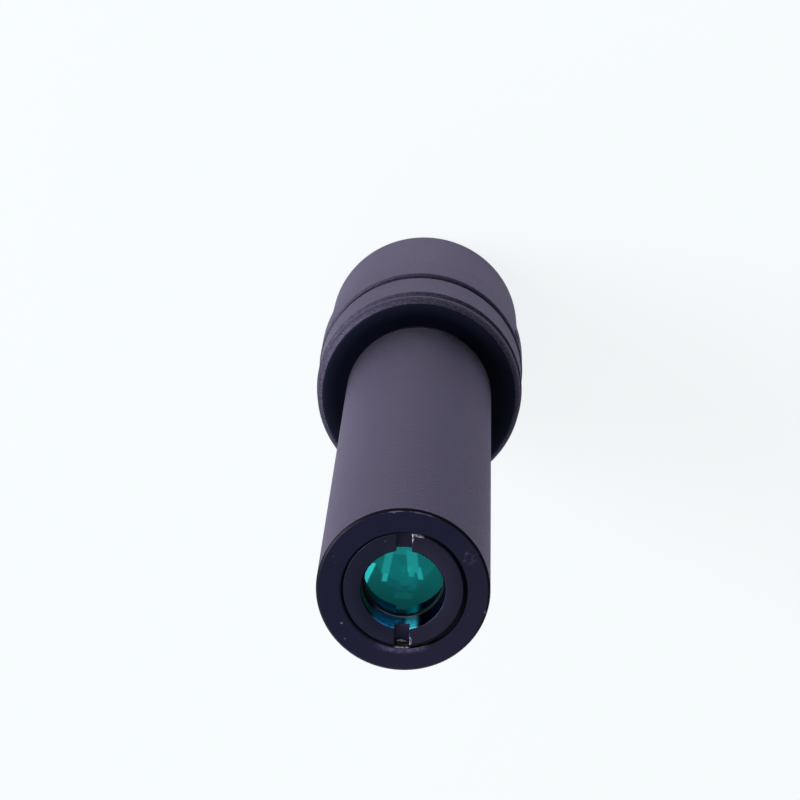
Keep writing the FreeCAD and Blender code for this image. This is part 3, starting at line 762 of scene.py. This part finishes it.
def white_acetal():
    finish = Finish(bpy.data.materials.new("white_acetal"))
    cloud = finish.noise(2, 3)
    return finish.close(
        Base_Color=finish.colour(cloud, (0.70, 0.69, 0.65), (0.80, 0.79, 0.75)),
        Roughness=0.4 + 0.1 * cloud,
        Normal=finish.relief(cloud, 0.004),
    )


def rolled_brass():
    finish = Finish(bpy.data.materials.new("rolled_brass"))
    marks = finish.noise(1.2, 4)
    return finish.close(
        Base_Color=finish.colour(marks, (0.62, 0.45, 0.17), (0.74, 0.56, 0.25)),
        Metallic=1.0,
        Roughness=0.28 + 0.12 * marks,
        Normal=finish.relief(marks, 0.004),
    )


felt = felt_black()
inner_finishes = {
    "mapping_lens": glass,
    "output_meniscus": glass,
    "mapping_slip_ring": acetal,
    "mapping_retaining_ring": dull,
    "front_baffle": dull,
    "rear_baffle": dull,
    "output_spacer": dull,
    "dust_seal": felt,
    "output_seal": felt,
    "screw_slugs": white_acetal(),
    "focus_shim": rolled_brass(),
}
for node, material in inner_finishes.items():
    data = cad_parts[node].data
    data.materials.clear()
    data.materials.append(material)

# Table. A broad white sheet under the part, seamless to the horizon. Metal and glass mirror it
# brighter on the left of the picture, where the soft lamp stands, than on the right.


def table_white():
    table = Finish(bpy.data.materials.new("table_white"))
    camera_sees = table.node("LightPath", {}, {}, "Is Camera Ray")
    metal_sees = table.node("LightPath", {}, {}, "Is Glossy Ray")
    glass_sees = table.node("LightPath", {}, {}, "Is Transmission Ray")
    lit = table.node("BsdfDiffuse", {}, {"Color": (0.90, 0.94, 0.96)})
    bright = table.node("Emission", {}, {"Color": (0.95, 0.985, 1.0), "Strength": 1.0})
    lean = 0.10 + 0.56 * table.fade(table.x, -45, -5) + 0.30 * table.fade(table.x, -5, 50)
    seen = (camera_sees * 0.87) | ((metal_sees | glass_sees) * lean)
    return table.end(table.node("MixShader", {}, {0: seen, 1: lit, 2: bright}))


sheet = bmesh.new()
bmesh.ops.create_circle(sheet, cap_ends=True, segments=96, radius=4)
table = lay_in_scene("table", sheet)
table.data.materials.append(table_white())

# Light. A bright room all round that is dimmer straight overhead and brighter on the left of the
# picture, a broad soft lamp on that side, and small bright panes high up, across the part from
# the camera, that the lens mirrors as streaks.

scene = bpy.context.scene
room = Finish(bpy.data.worlds.new("room"))
scene.world = room.owner
around = room.node("TexCoord", {}, {}, "Generated")
upward = room.node("SeparateXYZ", {}, {0: around}, "Z")
leftward = room.node("SeparateXYZ", {}, {0: around}, "X")
levels = [(0.0, 0.52), (0.64, 0.52), (0.866, 0.42), (0.912, 0.37), (0.9245, 0.33), (0.935, 0.19), (1.0, 0.10)]
stops = [(height, (level * 0.96, level * 0.985, level)) for height, level in levels]
walls = room.node("ValToRGB", {"stops": stops}, {0: upward})
walls = room.node("VectorMath", {"operation": "SCALE"}, {"Vector": walls, "Scale": 1 + 0.6 * leftward})
camera_sees = room.node("LightPath", {}, {}, "Is Camera Ray")
backdrop = room.colour(camera_sees, walls, (0.91, 0.945, 0.965))
room.node("OutputWorld", {}, {"Surface": room.node("Background", {}, {"Color": backdrop})})


def lamp(name, centre, aim, width, height, level):
    """A flat soft lamp, placed and aimed in metres; level is how bright it looks beside white."""
    light = bpy.data.lights.new(name, "AREA")
    light.shape = "RECTANGLE"
    light.size = width
    light.size_y = height
    light.energy = level * math.pi * width * height
    item = bpy.data.objects.new(name, light)
    scene.collection.objects.link(item)
    item.location = centre
    item.rotation_euler = (Vector(centre) - Vector(aim)).to_track_quat("Z", "Y").to_euler()
    return item


def window(name, corner, far_corner, width, level):
    """A bright pane overhead from one corner to the other, in metres across the ceiling."""
    ceiling = 0.8
    middle = [(corner[axis] + far_corner[axis]) / 2 for axis in (0, 1)]
    length = math.dist(corner, far_corner)
    pane = lamp(name, (*middle, ceiling), (*middle, 0), width, length, level)
    pane.rotation_euler = (0, 0, math.atan2(corner[0] - far_corner[0], far_corner[1] - corner[1]))


lamp("soft_lamp", (1.0, -0.28, 0.62), (0, 0, 0.05), 0.7, 0.6, 12)
window("left_pane", (-0.0056, 0.2725), (-0.0012, 0.2860), 0.0044, 1.6)
window("middle_pane", (0.0050, 0.2790), (0.0072, 0.2950), 0.0036, 0.45)
window("middle_pane_foot", (0.0046, 0.2738), (0.0056, 0.2800), 0.0024, 0.86)
window("right_pane", (0.0180, 0.2800), (0.0172, 0.2950), 0.0050, 0.46)
window("right_pane_foot", (0.0172, 0.2775), (0.0173, 0.2820), 0.0026, 0.43)
window("right_pane_side", (0.0216, 0.2760), (0.0202, 0.2840), 0.0022, 0.70)
window("top_pane", (0.0060, 0.2945), (0.0180, 0.2945), 0.0050, 0.21)
window("low_pane", (0.0095, 0.2652), (0.0172, 0.2650), 0.0036, 0.09)
window("low_pane_middle", (0.0112, 0.2654), (0.0160, 0.2652), 0.0018, 0.13)

# Camera. Where the photograph's stood: above the part and a little to one side of its axis, with
# a long lens. Its three directions and its place were fitted to the photograph's circles.

lens_and_sensor = bpy.data.cameras.new("camera")
lens_and_sensor.lens = 125.449
lens_and_sensor.sensor_width = 36
lens_and_sensor.clip_start = 0.01
camera = bpy.data.objects.new("camera", lens_and_sensor)
scene.collection.objects.link(camera)
right = (-0.99919617, -0.02429175, -0.03188937)
up = (0.03319413, -0.94736836, -0.31842007)
back = (-0.02247600, -0.31922266, 0.94741318)
eye = (-0.007613, -0.152899, 0.498201)
camera.matrix_world = Matrix([*zip(right, up, back, eye), (0, 0, 0, 1)])
scene.camera = camera

scene.view_settings.view_transform = "Standard"
